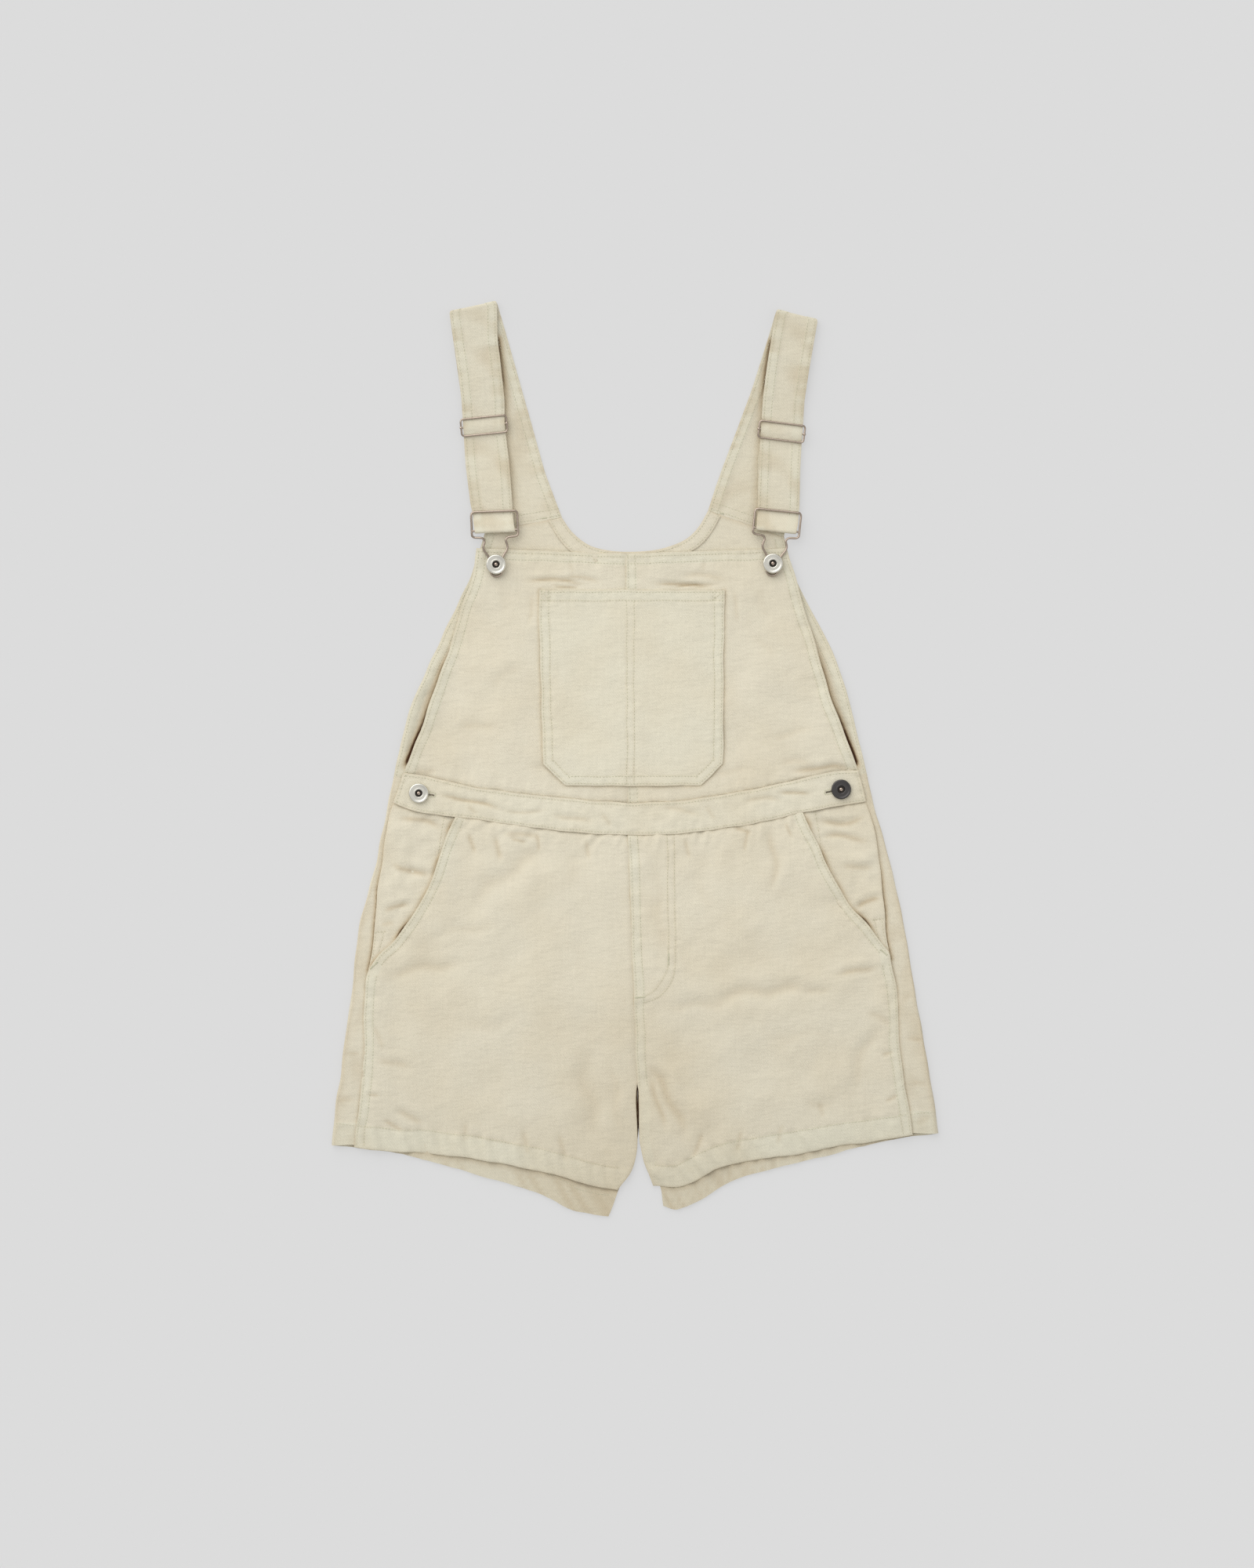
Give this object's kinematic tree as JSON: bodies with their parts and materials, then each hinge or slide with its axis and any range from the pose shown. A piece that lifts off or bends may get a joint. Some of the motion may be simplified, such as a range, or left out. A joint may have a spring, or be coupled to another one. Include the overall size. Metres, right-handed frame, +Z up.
{
  "type": "short dungarees",
  "caption": "Short bib dungarees in cream cotton twill with a bib pocket, wire buckles and tack buttons, laid flat on the back with both straps fastened.",
  "frame": {"origin": "centre of the outline seen from above, on the surface that the garment lies on", "axes": "+Y from the legs towards the shoulders, +X to the right seen from above, +Z up out of the front of the garment"},
  "size_m": [0.5422, 0.8179, 0.0113],
  "materials": {
    "twill": "undyed cream cotton twill, matt",
    "wire": "nickel-plated wire, bright",
    "button": "nickel-plated, satin",
    "dark_button": "darkened nickel, satin"
  },
  "bodies": {
    "root": {"back_bib": "twill", "neck_facing": "twill", "back_left": "twill", "back_right": "twill", "strap_left": "twill", "strap_right": "twill", "bib_left": "twill", "bib_right": "twill", "bib_pocket": "twill", "waistband": "twill", "front_left": "twill", "front_right": "twill", "pocket_bearer_left": "twill", "pocket_bearer_right": "twill", "buckle_left": "wire", "buckle_right": "wire", "slider_left": "wire", "slider_right": "wire", "bib_button_left": "button", "bib_button_right": "button", "hip_button_left": "button", "hip_button_right": "dark_button"}
  },
  "joints": []
}
